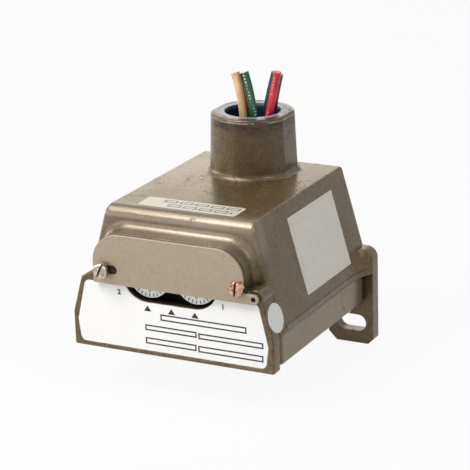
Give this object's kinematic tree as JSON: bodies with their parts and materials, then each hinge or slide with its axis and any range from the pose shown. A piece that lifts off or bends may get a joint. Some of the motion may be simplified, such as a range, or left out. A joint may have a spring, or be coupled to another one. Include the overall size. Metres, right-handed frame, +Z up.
{
  "type": "diaphragm pressure switch",
  "caption": "Cast housing with a sliding cover plate over numbered dials, wall ears, a conduit hub with stub leads, a diaphragm, bell-crank levers and snap switches.",
  "frame": {"origin": "on the mounting plane at the back, midway between the centres of the two mounting slots", "axes": "+Y into the wall or panel that the ears are bolted to, +Z up through the conduit hub, +X to the right seen from the front"},
  "size_m": [0.083, 0.0837, 0.1011],
  "materials": {
    "casting": "satin, bare cast metal with pits",
    "plate": "fine brushed",
    "steel": "plain",
    "plated_screw": "bright",
    "yellow_screw": "yellow zinc",
    "seal": "matt",
    "label": "satin film",
    "dial": "matt white",
    "protector": "matt blue",
    "potting": "smooth",
    "switch_body": "matt",
    "button": "satin",
    "terminal": "plain",
    "lead_tan": "satin",
    "lead_black": "satin",
    "lead_green": "satin",
    "lead_violet": "satin",
    "lead_red": "satin",
    "lead_blue": "satin",
    "lead_orange": "satin"
  },
  "bodies": {
    "housing": {"base_casting": "casting", "base_screws": "yellow_screw", "base_seal": "seal", "bracket": "steel", "bracket_screws": "plated_screw", "clamp_ring": "steel", "clamp_screws": "plated_screw", "cover_casting": "casting", "diaphragm": "steel", "lead_black": "lead_black", "lead_blue": "lead_blue", "lead_green": "lead_green", "lead_orange": "lead_orange", "lead_red": "lead_red", "lead_tan": "lead_tan", "lead_violet": "lead_violet", "lever_spacer": "terminal", "name_label": "label", "pivot_pin": "steel", "plate_gasket": "seal", "plate_screws": "plated_screw", "port_locknut": "steel", "potting": "potting", "pressure_port": "steel", "round_sticker": "label", "side_label": "label", "snap_switch_1": "switch_body", "snap_switch_2": "switch_body", "switch_screws": "plated_screw", "switch_terminals": "terminal", "thread_protector": "protector", "top_label": "label"},
    "cover_plate": {"cover_plate": "plate"},
    "plunger": {"plunger": "terminal"},
    "dial_1_set": {"dial_1": "dial", "adjusting_screw_1": "steel"},
    "nut_1": {"spring_nut_1": "steel", "range_spring_1": "steel"},
    "lever_1": {"lever_1": "steel"},
    "button_1": {"switch_button_1": "button"},
    "dial_2_set": {"dial_2": "dial", "adjusting_screw_2": "steel"},
    "nut_2": {"spring_nut_2": "steel", "range_spring_2": "steel"},
    "lever_2": {"lever_2": "steel"},
    "button_2": {"switch_button_2": "button"}
  },
  "joints": [
    {"name": "cover_plate_slide", "type": "slide", "parent": "housing", "child": "cover_plate", "axis": [-1, 0, 0], "range_m": [0, 0.0035]},
    {"name": "plunger_lift", "type": "slide", "parent": "housing", "child": "plunger", "axis": [0, 0, 1], "range_m": [0, 0.0006], "stiffness_N_per_m": 200},
    {"name": "dial_1_turn", "type": "hinge", "parent": "housing", "child": "dial_1_set", "pos_m": [0.0089, -0.0765, 0.0355], "axis": [0, 1, 0], "range_deg": [-150, 150]},
    {"name": "nut_1_travel", "type": "slide", "parent": "housing", "child": "nut_1", "axis": [0, 1, 0], "range_m": [-0.00125, 0.00125], "deforming": ["range_spring_1"]},
    {"name": "lever_1_tilt", "type": "hinge", "parent": "housing", "child": "lever_1", "pos_m": [0.0089, -0.044, 0.02375], "axis": [1, 0, 0], "range_deg": [0, 3.5]},
    {"name": "button_1_press", "type": "slide", "parent": "housing", "child": "button_1", "axis": [0, 0, 1], "range_m": [0, 0.0011]},
    {"name": "dial_2_turn", "type": "hinge", "parent": "housing", "child": "dial_2_set", "pos_m": [-0.0089, -0.0765, 0.0355], "axis": [0, 1, 0], "range_deg": [-150, 150]},
    {"name": "nut_2_travel", "type": "slide", "parent": "housing", "child": "nut_2", "axis": [0, 1, 0], "range_m": [-0.00125, 0.00125], "deforming": ["range_spring_2"]},
    {"name": "lever_2_tilt", "type": "hinge", "parent": "housing", "child": "lever_2", "pos_m": [-0.0089, -0.044, 0.02375], "axis": [1, 0, 0], "range_deg": [0, 3.5]},
    {"name": "button_2_press", "type": "slide", "parent": "housing", "child": "button_2", "axis": [0, 0, 1], "range_m": [0, 0.0011]}
  ],
  "couplings": [
    {"joint": "dial_1_turn", "follows": "nut_1_travel", "rad_per_m": -2094.4},
    {"joint": "lever_1_tilt", "follows": "plunger_lift", "rad_per_m": 100},
    {"joint": "button_1_press", "follows": "plunger_lift", "ratio": 1.7},
    {"joint": "dial_2_turn", "follows": "nut_2_travel", "rad_per_m": -2094.4},
    {"joint": "lever_2_tilt", "follows": "plunger_lift", "rad_per_m": 100},
    {"joint": "button_2_press", "follows": "plunger_lift", "ratio": 1.7}
  ]
}
